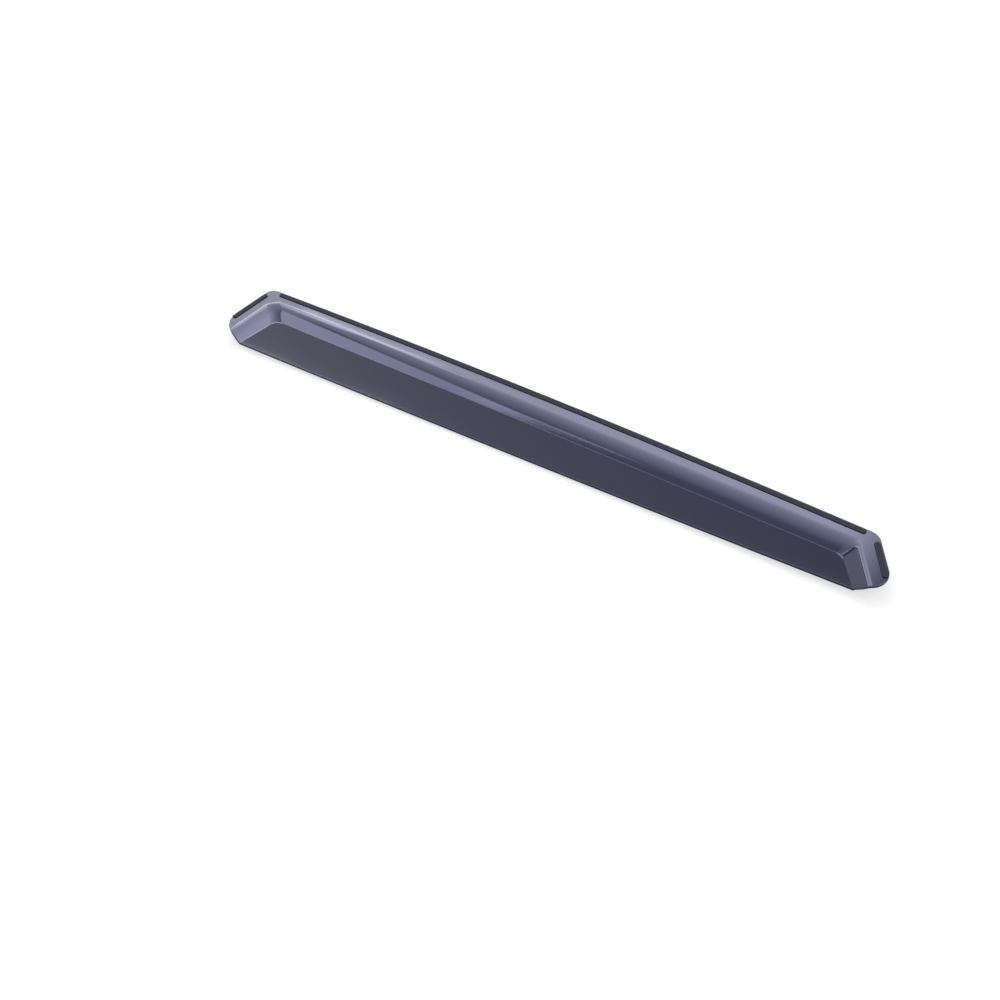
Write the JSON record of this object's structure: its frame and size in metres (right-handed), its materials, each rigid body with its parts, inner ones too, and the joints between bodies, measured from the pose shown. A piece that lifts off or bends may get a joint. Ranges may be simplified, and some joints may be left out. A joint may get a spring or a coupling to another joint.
{
  "type": "window rain deflector",
  "caption": "Long bowed smoked-plastic rain deflector for a car front-door window: shallow tray with a three-sided flange carrying foam adhesive tape and an open lower edge.",
  "frame": {"origin": "middle of the long tape's adhesive face, half way along the window", "axes": "+X along the window towards the raked front end, +Y across to the door frame edge, +Z out of the adhesive face towards the glass"},
  "size_m": [0.8337, 0.1022, 0.0205],
  "materials": {
    "smoked_acrylic": "glossy dark smoked acrylic",
    "foam_tape": "matte closed-cell foam tape"
  },
  "bodies": {
    "root": {"visor": "smoked_acrylic", "top_tape": "foam_tape", "rear_tape": "foam_tape", "front_tape": "foam_tape"}
  },
  "joints": []
}
